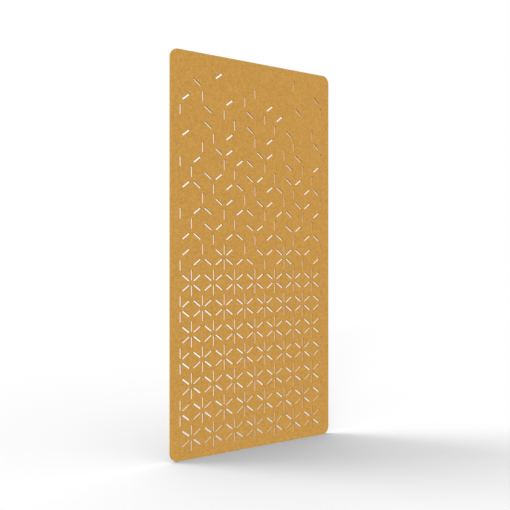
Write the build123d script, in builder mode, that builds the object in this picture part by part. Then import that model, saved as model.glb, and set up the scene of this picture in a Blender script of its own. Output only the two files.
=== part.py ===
from build123d import *
import math
import os

# A hanging acoustic screen: one board of pressed felt, cut through with a lattice of slots,
# and the two fittings in its top edge that take the screws it hangs from.
# The origin is the middle of the top edge, halfway through the board's thickness.
# X runs along that edge, Z is up, and the front faces -Y. Sizes are in millimetres.

os.makedirs("parts", exist_ok=True)

# Board
board_width = 1200
board_height = 2400
board_thickness = 12
corner_radius = 50

# Lattice of stars, in columns and staggered rows, with one slot along each arm of a star
column_count = 15
row_count = 15
side_margin = 67  # from a side edge to the outer column
top_margin = 149  # from the top edge to the first row of stars
bottom_margin = 123  # from the bottom edge to the last row of stars
slant_rise = 58.5  # what a slanting arm climbs or drops on its way to the next column
slot_width = 10
upright_land = 16  # felt left at each end of an upright arm's slot
slant_land = 18  # felt left at each end of a slanting arm's slot

# Fittings in the top edge: a ferrule lines each hole, and a barrel nut below it takes the screw
hanging_inset = 200  # from a side edge to the nearer fitting
fit_gap = 0.1  # between a fitting and the felt or the fitting next to it
ferrule_diameter = 8
ferrule_bore = 6.5  # lets an M6 screw through
ferrule_grooves = 3
groove_width = 1.5
groove_depth = 0.35
nut_drop = 32  # from the top edge to the barrel nut's axis
nut_diameter = 10
nut_cover = 1.5  # felt in front of the nut, and how far the nut lies below the back face
nut_chamfer = 0.6
thread_core = 5  # an M6 thread, as the bore at its root
driver_slot_width = 1.4
driver_slot_depth = 1.2
screw_tip_room = 8  # open hole under the nut for the end of the screw

# Worked out from the sizes above
column_pitch = (board_width - 2 * side_margin) / (column_count - 1)
row_pitch = (board_height - top_margin - bottom_margin) / (row_count - 1)
upright_arm = row_pitch - slant_rise
slant_arm = math.hypot(column_pitch, slant_rise)
slant_angle = math.degrees(math.atan2(slant_rise, column_pitch))
upright_slot = upright_arm - 2 * upright_land
slant_slot = slant_arm - 2 * slant_land

hanging_x = board_width / 2 - hanging_inset
nut_length = board_thickness - 2 * nut_cover
ferrule_length = nut_drop - nut_diameter / 2 - fit_gap
socket_depth = nut_drop + nut_diameter / 2 + screw_tip_room

# An arm is named by the hour that it points to on a clock face.
# Each hour has the arm's step across, in columns, and its side, up or down.
arm_steps = {12: (0, 1), 2: (1, 1), 4: (1, -1), 6: (0, -1), 8: (-1, -1), 10: (-1, 1)}
full_star = (12, 2, 4, 6, 8, 10)
upright_y = (2, 6, 10)
inverted_y = (12, 4, 8)

# Rows are counted from the top, and columns from the left. From this row down each star is full.
# Above it the stars along a row are by turns an upright and an inverted Y, apart from those listed
# here by row and column, which thin the lattice out towards the top.
first_full_row = 8
odd_stars = {
    0: {1: (4,), 3: (2,), 5: (), 7: (6,), 9: (), 11: (12,), 13: (4,)},
    1: {2: (12, 4), 4: (2, 6), 6: (12, 4), 8: (2, 6), 10: (8,), 12: (10,), 14: (12,)},
    2: {1: (8,), 3: (6, 10), 5: (12, 8), 7: (6, 10), 9: (12, 8), 11: (6, 10), 13: (12, 4)},
    3: {0: (6,), 2: (12, 8), 6: (4, 8), 10: (12, 4), 12: (6, 10)},
    5: {0: (6,)},
    7: {4: full_star, 10: full_star},
}


def star_arms(row, column):
    """The hours of the arms that are cut at this star."""
    if column in odd_stars.get(row, {}):
        return odd_stars[row][column]
    if row >= first_full_row:
        return full_star
    return inverted_y if column % 4 in (1, 2) else upright_y


def slot_centres(hours):
    """The middles of all arms that point to these hours, across and up from the origin.

    An arm that would point past the outer column is left out.
    """
    centres = []
    for row in range(row_count):
        star_z = -top_margin - row * row_pitch
        for column in range((row + 1) % 2, column_count, 2):
            star_x = (column - (column_count - 1) / 2) * column_pitch
            for hour in star_arms(row, column):
                across, side = arm_steps[hour]
                if hour not in hours or not 0 <= column + across < column_count:
                    continue
                rise = slant_rise if across else upright_arm
                centres.append((star_x + across * column_pitch / 2, star_z + side * rise / 2))
    return centres


# Planes across the thickness. Each faces the front, so an extrusion from it runs forwards.
back_plane = Plane.XZ.offset(-board_thickness / 2)
nut_plane = back_plane.offset(nut_cover)

# Where the fittings stand, seen from above and from the front
hanging_points = [(-hanging_x, 0), (hanging_x, 0)]
nut_points = [(-hanging_x, -nut_drop), (hanging_x, -nut_drop)]

# Felt board: a sheet with rounded corners. Each fitting has a round socket in its top edge, and a
# blind hole from the back that crosses the socket. The slots go right through, in three directions.
with BuildPart() as felt_board:
    with BuildSketch(back_plane):
        with Locations((0, -board_height / 2)):
            RectangleRounded(board_width, board_height, corner_radius)
    extrude(amount=board_thickness)
    with BuildSketch(Plane.XY):
        with Locations(*hanging_points):
            Circle(ferrule_diameter / 2 + fit_gap)
    extrude(amount=-socket_depth, mode=Mode.SUBTRACT)
    with BuildSketch(back_plane):
        with Locations(*nut_points):
            Circle(nut_diameter / 2 + fit_gap)
    extrude(amount=nut_cover + nut_length + fit_gap, mode=Mode.SUBTRACT)
    with BuildSketch(back_plane):
        with Locations(*slot_centres((12, 6))):
            Rectangle(slot_width, upright_slot)
        with Locations(*slot_centres((2, 8))):
            Rectangle(slant_slot, slot_width, rotation=slant_angle)
        with Locations(*slot_centres((4, 10))):
            Rectangle(slant_slot, slot_width, rotation=-slant_angle)
    extrude(amount=board_thickness, mode=Mode.SUBTRACT)
felt_board.part.label = "felt_board"

# Edge ferrules: sleeves glued into the sockets, flush with the top edge.
# They keep the screw from tearing the felt, and the grooves round them key the glue.
groove_pitch = ferrule_length / (ferrule_grooves + 1)
with BuildPart() as edge_ferrules:
    with BuildSketch(Plane.XY):
        with Locations(*hanging_points):
            Circle(ferrule_diameter / 2)
    extrude(amount=-ferrule_length)
    for groove in range(1, ferrule_grooves + 1):
        with BuildSketch(Plane.XY.offset(groove_width / 2 - groove * groove_pitch)):
            with Locations(*hanging_points):
                Circle(ferrule_diameter / 2)
                Circle(ferrule_diameter / 2 - groove_depth, mode=Mode.SUBTRACT)
        extrude(amount=-groove_width, mode=Mode.SUBTRACT)
    with BuildSketch(Plane.XY):
        with Locations(*hanging_points):
            Circle(ferrule_bore / 2)
    extrude(amount=-ferrule_length, mode=Mode.SUBTRACT)
edge_ferrules.part.label = "edge_ferrules"

# Barrel nuts: short round bars that lie across the felt's layers, threaded through the middle.
# The driver slot in the back end shows which way the thread runs.
with BuildPart() as barrel_nuts:
    with BuildSketch(nut_plane):
        with Locations(*nut_points):
            Circle(nut_diameter / 2)
    extrude(amount=nut_length)
    chamfer(barrel_nuts.edges().filter_by(GeomType.CIRCLE), length=nut_chamfer)
    with BuildSketch(Plane.XY.offset(nut_diameter / 2 - nut_drop)):
        with Locations(*hanging_points):
            Circle(thread_core / 2)
    extrude(amount=-nut_diameter, mode=Mode.SUBTRACT)
    with BuildSketch(nut_plane):
        with Locations(*nut_points):
            Rectangle(driver_slot_width, nut_diameter)
    extrude(amount=driver_slot_depth, mode=Mode.SUBTRACT)
barrel_nuts.part.label = "barrel_nuts"

export_step(felt_board.part, "parts/felt_board.step")
export_step(edge_ferrules.part, "parts/edge_ferrules.step")
export_step(barrel_nuts.part, "parts/barrel_nuts.step")
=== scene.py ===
# %% [markdown]
# # A hanging screen of pressed felt
# The real thing is one board of felt, about as thick as a finger, with a lattice of short slots
# cut through it. Two small metal fittings near each upper corner take the screws it hangs from.
#
# The model of its construction is loaded first. It stays as it is, as a fixed frame in metres,
# and everything made here takes its place and size from it. The front of the board faces -Y, Z
# is up, and the origin is the middle of the top edge.

import math

import bmesh
import bpy
from mathutils import Matrix, Vector


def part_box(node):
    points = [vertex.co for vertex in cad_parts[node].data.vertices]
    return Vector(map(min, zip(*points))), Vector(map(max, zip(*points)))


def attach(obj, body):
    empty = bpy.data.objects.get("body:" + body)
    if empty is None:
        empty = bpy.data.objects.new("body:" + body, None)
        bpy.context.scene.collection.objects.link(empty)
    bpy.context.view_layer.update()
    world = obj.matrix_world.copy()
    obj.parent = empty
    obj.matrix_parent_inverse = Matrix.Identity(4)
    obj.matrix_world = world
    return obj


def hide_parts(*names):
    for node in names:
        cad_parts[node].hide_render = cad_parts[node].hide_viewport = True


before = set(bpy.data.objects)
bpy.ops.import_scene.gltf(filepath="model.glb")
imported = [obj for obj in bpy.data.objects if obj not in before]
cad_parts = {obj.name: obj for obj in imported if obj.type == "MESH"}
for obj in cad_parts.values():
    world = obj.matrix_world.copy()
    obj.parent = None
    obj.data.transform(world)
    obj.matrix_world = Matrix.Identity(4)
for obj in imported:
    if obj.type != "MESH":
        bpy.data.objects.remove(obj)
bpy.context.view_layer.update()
print("nodes:", sorted(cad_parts))

MM = 0.001
scene = bpy.context.scene
scene.view_settings.view_transform = "Standard"
board_low, board_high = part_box("felt_board")

# %% [markdown]
# ## The camera
# The photograph looks at the front from the left. All upright edges stay upright in it, so the
# camera is level, and it stands at half the board's height. With a 50 mm lens on 36 mm film the
# board comes out half as wide as it is high, which is how such felt is sold.
#
# A camera looks along its own -Z. A quarter turn about X levels it, and a turn about Z aims it at
# the upright line through the middle of the board. A constraint could aim it too, but two turns say
# plainly where it looks.

# %% Camera
lens_mm = 50
film_mm = 36
view_turn = math.radians(34.98)  # away from straight at the board's face
view_distance = 4.436  # from the camera to the middle of the board

sight = Vector((math.sin(view_turn), math.cos(view_turn), 0))
board_middle = (board_low + board_high) / 2

camera_data = bpy.data.cameras.new("camera")
camera_data.lens = lens_mm
camera_data.sensor_width = film_mm
camera = bpy.data.objects.new("camera", camera_data)
camera.location = board_middle - view_distance * sight
camera.rotation_euler = (math.radians(90), 0, -view_turn)
scene.collection.objects.link(camera)
scene.camera = camera
print("camera stands at", [round(v, 3) for v in camera.location])

# %% [markdown]
# ## Two helpers for nodes
# Every finish below is a tree of shader nodes. Built by hand in the editor, a node is added, its
# boxes are filled in, and wires are drawn to it. The first helper does the same in one line: an
# input is given either a value or the output of another node.

# %% Node helpers


def add(tree, kind, inputs, **settings):
    """Adds a shader node of that kind to a tree, with its inputs filled in or wired up."""
    node = tree.nodes.new("ShaderNode" + kind)
    for name, value in settings.items():
        setattr(node, name, value)
    for socket, value in inputs.items():
        if isinstance(value, bpy.types.NodeSocket):
            tree.links.new(value, node.inputs[socket])
        else:
            node.inputs[socket].default_value = value
    return node


def maths(tree, operation, first, second=0.0):
    """The result of one sum, such as MULTIPLY or MAXIMUM."""
    return add(tree, "Math", {0: first, 1: second}, operation=operation).outputs[0]


# %% [markdown]
# ## Floor and surroundings
# The board hangs in a white room, with its bottom edge just at the floor. The white behind it must
# not come from stronger light, because then the felt would turn pale too. So the world has one
# brightness for what the camera sees, or metal and glass mirror, and a lower one that lights the
# scene. A Light Path node tells the two apart.
#
# The floor takes the board's shadow where the camera looks at it. For metal it is evenly white. To
# the felt it gives an even, weaker light, because in the photograph the shadow doesn't darken the
# lower part of the board, while the walls of the slots that face down are dark.

# %% World
sky_level = 0.82  # how brightly the world lights the scene, where 1 is full daylight

world = bpy.data.worlds.new("white_room")
world.use_nodes = True
scene.world = world
sky = world.node_tree
sky.nodes.clear()
path = add(sky, "LightPath", {})
seen = maths(sky, "MAXIMUM", path.outputs["Is Camera Ray"], path.outputs["Is Glossy Ray"])
seen = maths(sky, "MAXIMUM", seen, path.outputs["Is Transmission Ray"])
strength = add(sky, "MapRange", {"Value": seen, "To Min": sky_level, "To Max": 1.0})
background = add(sky, "Background", {"Color": (1, 1, 1, 1), "Strength": strength.outputs[0]})
add(sky, "OutputWorld", {"Surface": background.outputs[0]})
print("the world looks white and lights the scene at", sky_level)

# %% Floor
floor_reach = 60.0  # from the middle to each side, in metres
floor_colour = (0.83, 0.83, 0.83, 1)
floor_glow = 0.28  # the light that the floor gives back to the board

floor_mesh = bpy.data.meshes.new("floor")
sheet = bmesh.new()
bmesh.ops.create_grid(sheet, x_segments=1, y_segments=1, size=floor_reach)
bmesh.ops.translate(sheet, verts=sheet.verts, vec=(0, 0, board_low.z))
sheet.to_mesh(floor_mesh)
sheet.free()
floor = bpy.data.objects.new("floor", floor_mesh)
scene.collection.objects.link(floor)

floor_paint = bpy.data.materials.new("matte_white_floor")
floor_paint.use_nodes = True
paint = floor_paint.node_tree.nodes["Principled BSDF"]
paint.inputs["Base Color"].default_value = floor_colour
paint.inputs["Roughness"].default_value = 1.0
paint.inputs["Specular IOR Level"].default_value = 0.0
floor_mesh.materials.append(floor_paint)

paint_tree = floor_paint.node_tree
path = add(paint_tree, "LightPath", {})
levels = {"Value": path.outputs["Is Diffuse Ray"], "To Min": 1.0, "To Max": floor_glow}
even_level = add(paint_tree, "MapRange", levels).outputs[0]
even_light = add(paint_tree, "Emission", {"Color": (1, 1, 1, 1), "Strength": even_level})
looks = {0: path.outputs["Is Camera Ray"], 1: even_light.outputs[0], 2: paint.outputs[0]}
mixed = add(paint_tree, "MixShader", looks)
paint_tree.links.new(mixed.outputs[0], paint_tree.nodes["Material Output"].inputs["Surface"])
floor_paint.cycles.emission_sampling = "NONE"
print("floor lies at", round(board_low.z, 3))

# %% [markdown]
# ## Lamps
# The strongest shadow runs forwards and to the right, so the main lamp stands behind the board,
# high up at the left. Its soft edge says that the lamp is large.
#
# In the photograph, the slots' walls that face left are at least as bright as the face of the board.
# So the second lamp stands at the front left, close to the camera. There it shines into the slots,
# and its own shadow falls behind the board, out of sight. It is low, so it lights the felt far more
# than the floor.
#
# Area lamps would be more like a studio, but their light fades across the floor. A sun lamp's light
# is the same all over, and its angle makes the shadow soft. A lamp's level here is the brightness
# that it gives a white surface facing it.
# All the light that falls on the front adds up to about 1, so the felt looks as it is coloured.

# %% Lamps


def sun(name, bearing, height, level, softness):
    """A sun lamp. Its light comes from that bearing, counted from +X, and height, in degrees."""
    lamp = bpy.data.lights.new(name, "SUN")
    lamp.energy = level * math.pi
    lamp.angle = math.radians(softness)
    stand = bpy.data.objects.new(name, lamp)
    source = Vector((math.cos(math.radians(height)), 0, math.sin(math.radians(height))))
    source.rotate(Matrix.Rotation(math.radians(bearing), 3, "Z"))
    stand.rotation_euler = source.to_track_quat("Z", "Y").to_euler()
    stand.location = source
    scene.collection.objects.link(stand)
    print(name, "lights at level", level, "from", bearing, "degrees")


sun("main_lamp_behind", bearing=134, height=48.5, level=0.38, softness=27)
sun("low_lamp_by_the_camera", bearing=230, height=12, level=0.53, softness=25)

# %% [markdown]
# ## Black flags
# The felt throws ochre light on the floor beside it, but the photograph's shadows are plain grey. In
# a studio a black flag stops such light. Here one stands just off each face of the board. Only soft
# light that comes from outside meets it: the camera, the lamps and the shadows pass, and so does
# what leaves the board, because a flag is see-through from behind. A flag starts as a sheet one metre
# square, so its scale is its size.

# %% Flags
flag_gap = 0.5 * MM

flag_cloth = bpy.data.materials.new("black_flag")
flag_cloth.use_nodes = True
cloth = flag_cloth.node_tree
black = cloth.nodes["Principled BSDF"]
black.inputs["Base Color"].default_value = (0, 0, 0, 1)
black.inputs["Specular IOR Level"].default_value = 0.0
from_behind = add(cloth, "NewGeometry", {}).outputs["Backfacing"]
see_through = add(cloth, "BsdfTransparent", {}).outputs[0]
both_sides = add(cloth, "MixShader", {0: from_behind, 1: black.outputs[0], 2: see_through})
cloth.links.new(both_sides.outputs[0], cloth.nodes["Material Output"].inputs["Surface"])


def flag(name, side):
    """A flag as large as the board, in front of it for side -1, and behind it for side 1."""
    board_size = board_high - board_low
    off_middle = side * (board_size.y / 2 + flag_gap)
    stand_up = Matrix.Rotation(math.radians(-90 * side), 3, "X")
    sheet = bmesh.new()
    bmesh.ops.create_grid(sheet, x_segments=1, y_segments=1, size=0.5)
    bmesh.ops.scale(sheet, verts=sheet.verts, vec=(board_size.x, board_size.z, 1))
    bmesh.ops.rotate(sheet, verts=sheet.verts, cent=(0, 0, 0), matrix=stand_up)
    bmesh.ops.translate(sheet, verts=sheet.verts, vec=board_middle + Vector((0, off_middle, 0)))
    sheet.normal_update()
    print(name, "faces", [round(part) for part in sheet.faces[:][0].normal])
    mesh = bpy.data.meshes.new(name)
    sheet.to_mesh(mesh)
    sheet.free()
    mesh.materials.append(flag_cloth)
    piece = bpy.data.objects.new(name, mesh)
    scene.collection.objects.link(piece)
    piece.visible_camera = False
    piece.visible_glossy = False
    piece.visible_transmission = False
    piece.visible_shadow = False


flag("flag_in_front", -1)
flag("flag_behind", 1)

# %% [markdown]
# ## Felt: one direction of fibres
# Pressed felt is a tangle of crimped fibres that lie in the board's plane in every direction. From
# a step away they show as short curved strands, some lighter and some darker than the rest. Modelled
# as hair there would be millions of them, so the strands are drawn by the material.
#
# One direction of fibres is noise that is stretched far along one line. Where the stretched noise
# passes its middle value it draws long thin loops, and keeping only a narrow band round that value
# leaves strands. The Mapping node is of the Texture type, so its scale is simply the size of one
# strand in metres. Strands are thin through the board, so a cut edge gets short dashes.

# %% Strand group


def new_group(name, inputs, outputs):
    """An empty node group, its input sockets and its output sockets."""
    tree = bpy.data.node_groups.new(name, "ShaderNodeTree")
    for socket, kind in inputs.items():
        tree.interface.new_socket(socket, in_out="INPUT", socket_type="NodeSocket" + kind)
    for socket in outputs:
        tree.interface.new_socket(socket, in_out="OUTPUT", socket_type="NodeSocketFloat")
    return tree, tree.nodes.new("NodeGroupInput").outputs, tree.nodes.new("NodeGroupOutput").inputs


strands, given, result = new_group(
    "strands_in_one_direction",
    {"Vector": "Vector", "Turn": "Float", "Length": "Float", "Width": "Float", "Band": "Float"},
    ["Strands"],
)
crimp = 1.6  # how far a strand wanders off its line, against its own size
flatness = 0.4  # a strand's thickness through the board, against its width
noise_middle = 0.5
thickness = maths(strands, "MULTIPLY", given["Width"], flatness)
size = add(strands, "CombineXYZ", {0: given["Length"], 1: thickness, 2: given["Width"]})
turn = add(strands, "CombineXYZ", {1: given["Turn"]})
shift = add(strands, "CombineXYZ", {0: given["Turn"], 1: given["Turn"], 2: given["Turn"]})
lined_up = add(
    strands,
    "Mapping",
    {
        "Vector": given["Vector"],
        "Location": shift.outputs[0],
        "Rotation": turn.outputs[0],
        "Scale": size.outputs[0],
    },
    vector_type="TEXTURE",
)
stretched = add(
    strands,
    "TexNoise",
    {"Vector": lined_up.outputs[0], "Scale": 1.0, "Detail": 1.0, "Distortion": crimp},
)
off_middle = maths(strands, "SUBTRACT", stretched.outputs["Fac"], noise_middle)
kept = add(
    strands,
    "MapRange",
    {
        "Value": maths(strands, "ABSOLUTE", off_middle),
        "From Max": given["Band"],
        "To Min": 1.0,
        "To Max": 0.0,
    },
    interpolation_type="SMOOTHSTEP",
)
strands.links.new(kept.outputs[0], result["Strands"])
print("strand group has", len(strands.nodes), "nodes")

# %% [markdown]
# ## Felt: the whole tangle
# Layers of strands, each turned another way, make the tangle. There are three sizes of them: fine
# strands, middling ones that the eye picks out, and broad bunches, which are all that is left to
# see from across a room. The board's face and its cut edges both use it, so it is a group, built
# once. It puts out light strands, dark strands, the soft tufts that fibres clump into, a slow drift
# of the dye, and the nap, which is how high the fuzz stands.

# %% Felt group
tangle, given, result = new_group(
    "felt_tangle",
    {"Vector": "Vector", "Strand Length": "Float", "Strand Width": "Float"},
    ["Light Strands", "Dark Strands", "Tufts", "Dye Drift", "Nap"],
)


def layers(turns, size, band, strength):
    """Strands in each of these directions in degrees. Their size is against the given one."""
    length = maths(tangle, "MULTIPLY", given["Strand Length"], size)
    width = maths(tangle, "MULTIPLY", given["Strand Width"], size)
    most = 0.0
    for degrees in turns:
        inputs = {
            "Vector": given["Vector"],
            "Turn": math.radians(degrees),
            "Length": length,
            "Width": width,
            "Band": band,
        }
        layer = add(tangle, "Group", inputs, node_tree=strands)
        most = maths(tangle, "MAXIMUM", most, layer.outputs["Strands"])
    return maths(tangle, "MULTIPLY", most, strength)


def bunches(turns, more_turns):
    """All three sizes of strand together, with the fine and the broad ones fainter."""
    fine = layers(turns, size=0.4, band=0.06, strength=0.7)
    middling = layers(more_turns, size=1.0, band=0.05, strength=1.0)
    broad = layers(turns, size=3.5, band=0.12, strength=0.45)
    return maths(tangle, "MAXIMUM", maths(tangle, "MAXIMUM", fine, middling), broad)


def soft_noise(size, detail):
    """Even noise with lumps of about this size in metres."""
    inputs = {"Vector": given["Vector"], "Scale": 1 / size, "Detail": detail, "Roughness": 0.65}
    return add(tangle, "TexNoise", inputs).outputs["Fac"]


tuft_size = 11 * MM
drift_size = 70 * MM
fuzz_size = 0.5 * MM

light = bunches((25, 90, 150), (12, 71, 133))
dark = bunches((55, 118, 176), (38, 104, 161))
tufts = soft_noise(tuft_size, 3.0)
dye_drift = soft_noise(drift_size, 2.0)
fuzz = soft_noise(fuzz_size, 2.0)
strand_height = maths(tangle, "SUBTRACT", light, dark)
nap = maths(tangle, "ADD", strand_height, maths(tangle, "ADD", fuzz, tufts))

tangle.links.new(light, result["Light Strands"])
tangle.links.new(dark, result["Dark Strands"])
tangle.links.new(tufts, result["Tufts"])
tangle.links.new(dye_drift, result["Dye Drift"])
tangle.links.new(nap, result["Nap"])
print("felt group has", len(tangle.nodes), "nodes")

# %% [markdown]
# ## Felt: the two finishes
# The pressed face is matte ochre with a soft speckle. The cut edges are the same felt, but there
# the knife went through the layers, so fine lines run along the cut, level with the faces.
#
# Each finish is a Principled shader. Its colour starts between two near ochres, is made lighter and
# darker by the tufts, and then gets the dark and light strands laid over it. Felt has no shine, so
# it is rough all over, with a little sheen for the fuzz that catches light at its rim.

# %% Felt materials
ochre = (0.568, 0.288, 0.052, 1)
ochre_redder = (0.582, 0.279, 0.055, 1)
ochre_light = (0.750, 0.434, 0.110, 1)
ochre_dark = (0.365, 0.163, 0.024, 1)
noise_low = 0.25  # nearly all noise lies between these two values
noise_high = 0.75
redder_when_dark = (0.85, 1.0, 1.3)  # how far red, green and blue follow a change of tone
layer_size = (20 * MM, 0.7 * MM, 20 * MM)  # a pressed layer's patches, across, through and up
layer_rise = 10  # how far the layers stand out, against how far they change the tone


def swing(tree, noise, depth):
    """Turns noise into a factor that swings round 1 by this depth."""
    inputs = {"Value": noise, "From Min": noise_low, "From Max": noise_high}
    inputs.update({"To Min": 1 - depth, "To Max": 1 + depth})
    return add(tree, "MapRange", inputs, clamp=False).outputs[0]


def blend(tree, amount, below, above):
    """The upper colour laid over the lower one, by an amount from 0 to 1."""
    return add(tree, "Mix", {0: amount, 6: below, 7: above}, data_type="RGBA").outputs[2]


def felt_finish(name, strand_length, strand_width, tuft_depth, strand_depth, layer_depth):
    """Ochre felt. The depths say how far tufts, strands and cut layers change its colour."""
    material = bpy.data.materials.new(name)
    material.use_nodes = True
    tree = material.node_tree
    shader = tree.nodes["Principled BSDF"]
    where = add(tree, "TexCoord", {}).outputs["Object"]
    inputs = {"Vector": where, "Strand Length": strand_length, "Strand Width": strand_width}
    fibres = add(tree, "Group", inputs, node_tree=tangle).outputs

    flattened = add(tree, "Mapping", {"Vector": where, "Scale": layer_size}, vector_type="TEXTURE")
    inputs = {"Vector": flattened.outputs[0], "Scale": 1.0, "Detail": 2.0}
    seams = add(tree, "TexNoise", inputs).outputs["Fac"]

    dyed = blend(tree, fibres["Dye Drift"], ochre, ochre_redder)
    tones = {}
    for channel, share in enumerate(redder_when_dark):
        tuft_tone = swing(tree, fibres["Tufts"], tuft_depth * share)
        tones[channel] = maths(tree, "MULTIPLY", tuft_tone, swing(tree, seams, layer_depth))
    tone = add(tree, "CombineXYZ", tones).outputs[0]
    toned = add(tree, "VectorMath", {0: dyed, 1: tone}, operation="MULTIPLY").outputs[0]
    dark_amount = maths(tree, "MULTIPLY", fibres["Dark Strands"], strand_depth)
    light_amount = maths(tree, "MULTIPLY", fibres["Light Strands"], strand_depth)
    darkened = blend(tree, dark_amount, toned, ochre_dark)
    coloured = blend(tree, light_amount, darkened, ochre_light)
    tree.links.new(coloured, shader.inputs["Base Color"])

    seam_height = maths(tree, "MULTIPLY", seams, layer_rise * layer_depth)
    height = maths(tree, "ADD", fibres["Nap"], seam_height)
    bump = add(tree, "Bump", {"Strength": 0.5, "Distance": 0.25 * MM, "Height": height})
    tree.links.new(bump.outputs[0], shader.inputs["Normal"])
    shader.inputs["Roughness"].default_value = 0.95
    shader.inputs["Specular IOR Level"].default_value = 0.2
    shader.inputs["Sheen Weight"].default_value = 0.1
    shader.inputs["Sheen Roughness"].default_value = 0.5
    shader.inputs["Sheen Tint"].default_value = ochre_light
    return material


pressed_felt = felt_finish(
    "pressed_ochre_felt",
    strand_length=16 * MM,
    strand_width=1.5 * MM,
    tuft_depth=0.67,
    strand_depth=0.65,
    layer_depth=0,
)
cut_felt = felt_finish(
    "knife_cut_ochre_felt",
    strand_length=9 * MM,
    strand_width=1.0 * MM,
    tuft_depth=0.1,
    strand_depth=0.45,
    layer_depth=0.12,
)
print("felt finishes:", pressed_felt.name, "and", cut_felt.name)

# %% [markdown]
# ## The board
# The lattice has hundreds of slots, and their places are already in the frame. Cutting them anew
# with Boolean modifiers would be slow, and could only come out the same. So the board starts as a
# copy of the frame's own mesh, with its loose triangles joined at their corners. What it lacks is
# the softness of felt: a knife leaves a slightly rounded rim. Bevelling only the rims, where a face
# of the board meets a cut, gives it that.

# %% Board mesh
merge_reach = 0.001 * MM


def closed(shape):
    """True where every edge of a shape joins exactly two faces."""
    return all(edge.is_manifold for edge in shape.edges)


board = bmesh.new()
board.from_mesh(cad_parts["felt_board"].data)
bmesh.ops.remove_doubles(board, verts=board.verts, dist=merge_reach)
print("board:", len(board.verts), "corners once merged, closed:", closed(board))

# %% Soft rims
rim_softness = 0.6 * MM
board_face = board_high.y
faces_out = 0.99  # from this much Y in its normal, a face lies level with the board
faces_aside = 0.1  # up to this much, it stands square to the board


def is_pressed(face):
    """True for the front and back of the board, and not for the floor of a blind hole."""
    on_outside = all(abs(abs(vert.co.y) - board_face) < merge_reach for vert in face.verts)
    return on_outside and abs(face.normal.y) > faces_out


rims = [edge for edge in board.edges if sum(is_pressed(face) for face in edge.link_faces) == 1]
bmesh.ops.bevel(
    board,
    geom=rims,
    offset=rim_softness,
    offset_type="OFFSET",
    affect="EDGES",
    segments=2,
    profile=0.5,
    material=-1,
    clamp_overlap=False,
)
board.normal_update()
print("board:", len(rims), "rims softened,", len(board.faces), "faces")

# %% [markdown]
# ## Which faces are cut
# The front and the back were pressed between plates. The edges and the slots' walls were cut later,
# so they have a finish of their own. One piece can have both, because each face says by a number
# which of the piece's materials it takes. Only the rims and the round corners are shaded smooth,
# because everything else on the board is flat.

# %% Pressed and cut faces
corner_radius = 50 * MM

for face in board.faces:
    slope = abs(face.normal.y)
    centre = face.calc_center_median()
    by_side = abs(centre.x) > board_high.x - corner_radius
    by_top = centre.z > board_high.z - corner_radius
    by_bottom = centre.z < board_low.z + corner_radius
    on_rim = faces_aside < slope < faces_out
    on_round_corner = slope < faces_aside and by_side and (by_top or by_bottom)
    face.material_index = 0 if is_pressed(face) else 1
    face.smooth = on_rim or on_round_corner
print("board:", sum(face.material_index for face in board.faces), "faces are cut felt")

# %% [markdown]
# ## Putting a piece in place
# A finished shape becomes an object at the origin, because its place is already in its mesh. Then it
# is hung on what it rides on, it gets its finishes, and the node of the frame that it stands in for
# is hidden. All three pieces do this in the same way, so it is a helper.

# %% Finished board


def finished(name, shape, materials, node):
    """Turns a shape into a piece of the object, in the place of a node of the frame."""
    mesh = bpy.data.meshes.new(name)
    shape.to_mesh(mesh)
    shape.free()
    for material in materials:
        mesh.materials.append(material)
    piece = bpy.data.objects.new(name, mesh)
    scene.collection.objects.link(piece)
    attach(piece, "root")
    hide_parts(node)
    print(name, "takes the place of", node)


finished("slotted_felt_board", board, [pressed_felt, cut_felt], "felt_board")

# %% [markdown]
# ## Fittings: turned metal
# Both kinds of fitting are turned on a lathe, which leaves fine rings round the axis, on the sides
# and on the ends alike. Noise that is read at a radius and a place along the axis, and nowhere
# else, is the same all the way round, so it draws just such rings. A second, even noise gives the
# faint cloudy stain that handled metal has. The rings are finer than a hair, so they are bump and
# not cut into the mesh. Both effects come from a group, because aluminium and zinc plate share them.
#
# The same fitting stands at the left and at the right. Taking the distance from the middle of the
# board, whichever the side, folds one onto the other, so one centre serves both.

# %% Turned metal group
turned, given, result = new_group(
    "turned_metal",
    {"Across": "Float", "Aside": "Float", "Along": "Float"},
    ["Tool Marks", "Clouding"],
)
ring_width = 0.12 * MM
cloud_size = 2.5 * MM

square = maths(turned, "MULTIPLY", given["Across"], given["Across"])
other_square = maths(turned, "MULTIPLY", given["Aside"], given["Aside"])
radius = maths(turned, "SQRT", maths(turned, "ADD", square, other_square))
rings_at = add(turned, "CombineXYZ", {0: radius, 1: given["Along"]}).outputs[0]
inputs = {"Vector": rings_at, "Scale": 1 / ring_width, "Detail": 2.0}
rings = add(turned, "TexNoise", inputs).outputs["Fac"]
spot = add(turned, "CombineXYZ", {0: given["Across"], 1: given["Aside"], 2: given["Along"]})
inputs = {"Vector": spot.outputs[0], "Scale": 1 / cloud_size, "Detail": 3.0}
clouds = add(turned, "TexNoise", inputs).outputs["Fac"]
turned.links.new(rings, result["Tool Marks"])
turned.links.new(clouds, result["Clouding"])
print("turned metal group has", len(turned.nodes), "nodes")

# %% Metal materials
ferrule_low, ferrule_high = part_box("edge_ferrules")
nut_low, nut_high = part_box("barrel_nuts")
ferrule_radius = (ferrule_high.y - ferrule_low.y) / 2
hanging_x = ferrule_high.x - ferrule_radius
ferrule_middle = (ferrule_low + ferrule_high) / 2
nut_middle = (nut_low + nut_high) / 2
stain_depth = 0.06  # how far the clouding changes the colour
wear_depth = 0.2  # how far it changes the roughness
ring_depth = 0.15  # how far the tool marks change the roughness


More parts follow.
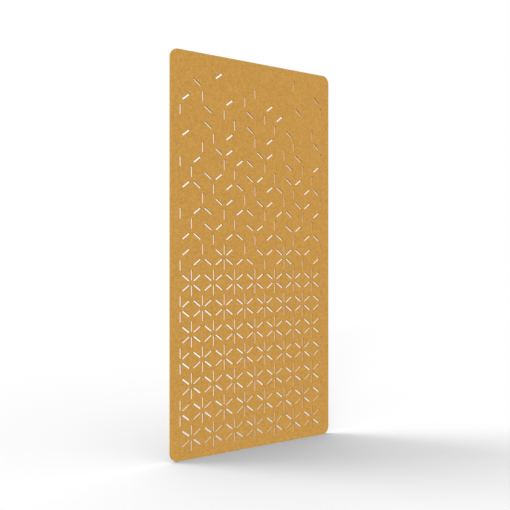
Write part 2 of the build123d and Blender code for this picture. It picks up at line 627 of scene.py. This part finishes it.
def metal_finish(name, colour, roughness, axis, centre):
    """Turned metal. The axis is Y or Z, and the centre is where it passes through."""
    material = bpy.data.materials.new(name)
    material.use_nodes = True
    tree = material.node_tree
    shader = tree.nodes["Principled BSDF"]
    where = add(tree, "TexCoord", {}).outputs["Object"]
    place = add(tree, "SeparateXYZ", {0: where}).outputs
    across = maths(tree, "SUBTRACT", maths(tree, "ABSOLUTE", place["X"]), hanging_x)
    aside, along = ("Y", "Z") if axis == "Z" else ("Z", "Y")
    off_axis = maths(tree, "SUBTRACT", place[aside], getattr(centre, aside.lower()))
    inputs = {"Across": across, "Aside": off_axis, "Along": place[along]}
    marks = add(tree, "Group", inputs, node_tree=turned).outputs

    shade = swing(tree, marks["Clouding"], stain_depth)
    stained = add(tree, "VectorMath", {0: colour, "Scale": shade}, operation="SCALE")
    tree.links.new(stained.outputs[0], shader.inputs["Base Color"])
    worn = maths(tree, "MULTIPLY", swing(tree, marks["Clouding"], wear_depth), roughness)
    worn = maths(tree, "MULTIPLY", swing(tree, marks["Tool Marks"], ring_depth), worn)
    tree.links.new(worn, shader.inputs["Roughness"])
    inputs = {"Strength": 0.6, "Distance": 0.03 * MM, "Height": marks["Tool Marks"]}
    bump = add(tree, "Bump", inputs)
    tree.links.new(bump.outputs[0], shader.inputs["Normal"])
    shader.inputs["Metallic"].default_value = 1.0
    return material


aluminium_grey = (0.78, 0.78, 0.79)
zinc_grey = (0.66, 0.67, 0.68)
satin_aluminium = metal_finish("satin_turned_aluminium", aluminium_grey, 0.34, "Z", ferrule_middle)
zinc_plate = metal_finish("zinc_plated_steel", zinc_grey, 0.42, "Y", nut_middle)
print("metal finishes:", satin_aluminium.name, "and", zinc_plate.name)

# %% [markdown]
# ## Edge ferrules
# A ferrule is a short sleeve in the board's top edge. It keeps the hanging screw from tearing the
# felt, and the grooves round it hold the glue. It is a turned part, so it is made as on a lathe: one
# half of its section is drawn as a closed line, from the top rim down the outside and back up the
# bore, and spun all the way round its axis. Cutting the bore and grooves out of a cylinder would
# work too, but a spun section gives even faces in one step.

# %% Helpers for turned shapes
sharp_angle = math.radians(30)


def closed_line(points):
    """A bmesh with one closed line through points that are given as radius and height."""
    shape = bmesh.new()
    corners = [shape.verts.new((radius, 0, height)) for radius, height in points]
    for corner, following in zip(corners, corners[1:] + corners[:1]):
        shape.edges.new((corner, following))
    return shape


def shade_by_angle(shape):
    """Smooth faces, apart from where two of them meet at a clear angle."""
    for face in shape.faces:
        face.smooth = True
    for edge in shape.edges:
        edge.smooth = edge.is_manifold and edge.calc_face_angle() < sharp_angle


def pair(shape, apart, drop):
    """Moves a shape to the left fitting's place, and adds a copy at the right one's."""
    bmesh.ops.translate(shape, verts=shape.verts, vec=(-apart, 0, drop))
    twin = bmesh.ops.duplicate(shape, geom=shape.verts[:] + shape.edges[:] + shape.faces[:])
    twin_verts = [item for item in twin["geom"] if isinstance(item, bmesh.types.BMVert)]
    bmesh.ops.translate(shape, verts=twin_verts, vec=(2 * apart, 0, 0))


# %% Ferrules
ferrule_length = ferrule_high.z - ferrule_low.z
bore_radius = 6.5 * MM / 2
broken_rim = 0.25 * MM
groove_count = 3
groove_width = 1.5 * MM
groove_root = ferrule_radius - 0.35 * MM
groove_pitch = ferrule_length / (groove_count + 1)
spin_steps = 64

section = [(bore_radius + broken_rim, 0), (ferrule_radius - broken_rim, 0)]
section.append((ferrule_radius, -broken_rim))
for groove in range(1, groove_count + 1):
    groove_top = groove_width / 2 - groove * groove_pitch
    groove_foot = groove_top - groove_width
    section += [(ferrule_radius, groove_top), (groove_root, groove_top)]
    section += [(groove_root, groove_foot), (ferrule_radius, groove_foot)]
section += [(ferrule_radius, broken_rim - ferrule_length)]
section += [(ferrule_radius - broken_rim, -ferrule_length)]
section += [(bore_radius + broken_rim, -ferrule_length)]
section += [(bore_radius, broken_rim - ferrule_length), (bore_radius, -broken_rim)]

ferrule = closed_line(section)
bmesh.ops.spin(
    ferrule,
    geom=ferrule.verts[:] + ferrule.edges[:],
    cent=(0, 0, 0),
    axis=(0, 0, 1),
    angle=math.tau,
    steps=spin_steps,
    use_merge=True,
)
bmesh.ops.remove_doubles(ferrule, verts=ferrule.verts, dist=merge_reach)
bmesh.ops.recalc_face_normals(ferrule, faces=ferrule.faces)
shade_by_angle(ferrule)
pair(ferrule, hanging_x, 0)
print("ferrules:", len(ferrule.faces), "faces, closed:", closed(ferrule))
finished("grooved_edge_ferrules", ferrule, [satin_aluminium], "edge_ferrules")

# %% [markdown]
# ## Barrel nuts
# A barrel nut is a short round bar that lies across the felt's layers and carries the weight. It
# starts as a cylinder, laid down along Y, with its ends bevelled. The screw hole and the driver slot
# are cut with Boolean modifiers, as they would be drilled and sawn, because where they meet the
# round bar their outline is a curve that is hard to draw.
#
# The thread could be bump alone, but then the hole would still look round from its end. So it is a
# ridge that winds up the hole: a small triangle, spun seven times round while it climbs by one pitch
# a turn.

# %% Helpers for drilling and sawing


def round_bar(radius, length, steps):
    """A solid cylinder along Z, centred on the origin."""
    bar = bmesh.new()
    sizes = {"radius1": radius, "radius2": radius, "depth": length, "segments": steps}
    bmesh.ops.create_cone(bar, cap_ends=True, cap_tris=False, **sizes)
    return bar


def cut_away(shape, cutters):
    """The shape less each of the cutters, worked out by Boolean modifiers."""
    meshes = []
    for part in [shape] + cutters:
        mesh = bpy.data.meshes.new("workpiece")
        part.to_mesh(mesh)
        part.free()
        meshes.append(mesh)
    holders = [bpy.data.objects.new("workpiece", mesh) for mesh in meshes]
    for holder in holders:
        scene.collection.objects.link(holder)
    for holder in holders[1:]:
        cut = holders[0].modifiers.new("cut", "BOOLEAN")
        cut.operation = "DIFFERENCE"
        cut.solver = "EXACT"
        cut.object = holder
    done = holders[0].evaluated_get(bpy.context.evaluated_depsgraph_get())
    cut_shape = bmesh.new()
    cut_shape.from_mesh(done.to_mesh())
    done.to_mesh_clear()
    for holder in holders:
        bpy.data.objects.remove(holder)
    for mesh in meshes:
        bpy.data.meshes.remove(mesh)
    return cut_shape


# %% Nut bar
nut_radius = (nut_high.z - nut_low.z) / 2
nut_length = nut_high.y - nut_low.y
end_bevel = 0.6 * MM
thread_root = 6 * MM / 2
driver_slot_width = 1.4 * MM
driver_slot_depth = 1.2 * MM
cutter_length = 3 * nut_radius  # long enough to stand out at both sides of the nut

bar = round_bar(nut_radius, nut_length, spin_steps)
ends = [edge for edge in bar.edges if abs(edge.verts[0].co.z - edge.verts[1].co.z) < merge_reach]
bmesh.ops.bevel(
    bar,
    geom=ends,
    offset=end_bevel,
    offset_type="OFFSET",
    affect="EDGES",
    segments=3,
    profile=0.5,
    material=-1,
)
lie_down = Matrix.Rotation(math.radians(90), 3, "X")
bmesh.ops.rotate(bar, verts=bar.verts, cent=(0, 0, 0), matrix=lie_down)

screw_hole = round_bar(thread_root, cutter_length, spin_steps)
driver_slot = bmesh.new()
bmesh.ops.create_cube(driver_slot, size=1)
slot_sizes = (driver_slot_width, 2 * driver_slot_depth, cutter_length)
bmesh.ops.scale(driver_slot, verts=driver_slot.verts, vec=slot_sizes)
bmesh.ops.translate(driver_slot, verts=driver_slot.verts, vec=(0, nut_length / 2, 0))
nut = cut_away(bar, [screw_hole, driver_slot])
shade_by_angle(nut)
print("nut bar:", len(nut.faces), "faces, closed:", closed(nut))

# %% Thread
thread_crest = 5 * MM / 2
thread_pitch = 1.0 * MM
thread_turns = 7
steps_per_turn = 24
ridge_half = 0.42 * thread_pitch  # leaves a narrow root between one turn and the next
sunk_root = thread_root + 0.05 * MM  # the ridge starts just inside the wall of the hole

ridge = closed_line([(thread_crest, 0), (sunk_root, ridge_half), (sunk_root, -ridge_half)])
bmesh.ops.translate(ridge, verts=ridge.verts, vec=(0, 0, -thread_turns * thread_pitch / 2))
bmesh.ops.spin(
    ridge,
    geom=ridge.verts[:] + ridge.edges[:],
    cent=(0, 0, 0),
    axis=(0, 0, 1),
    dvec=(0, 0, thread_pitch / steps_per_turn),
    angle=math.tau * thread_turns,
    steps=steps_per_turn * thread_turns,
)
bmesh.ops.holes_fill(ridge, edges=ridge.edges, sides=3)
bmesh.ops.recalc_face_normals(ridge, faces=ridge.faces)
shade_by_angle(ridge)
heights = [vert.co.z for vert in ridge.verts]
print("thread runs over", round((max(heights) - min(heights)) / MM, 2), "mm")

ridge_mesh = bpy.data.meshes.new("thread_ridge")
ridge.to_mesh(ridge_mesh)
ridge.free()
nut.from_mesh(ridge_mesh)
bpy.data.meshes.remove(ridge_mesh)
pair(nut, hanging_x, nut_middle.z)
print("nuts:", len(nut.faces), "faces")
finished("threaded_barrel_nuts", nut, [zinc_plate], "barrel_nuts")
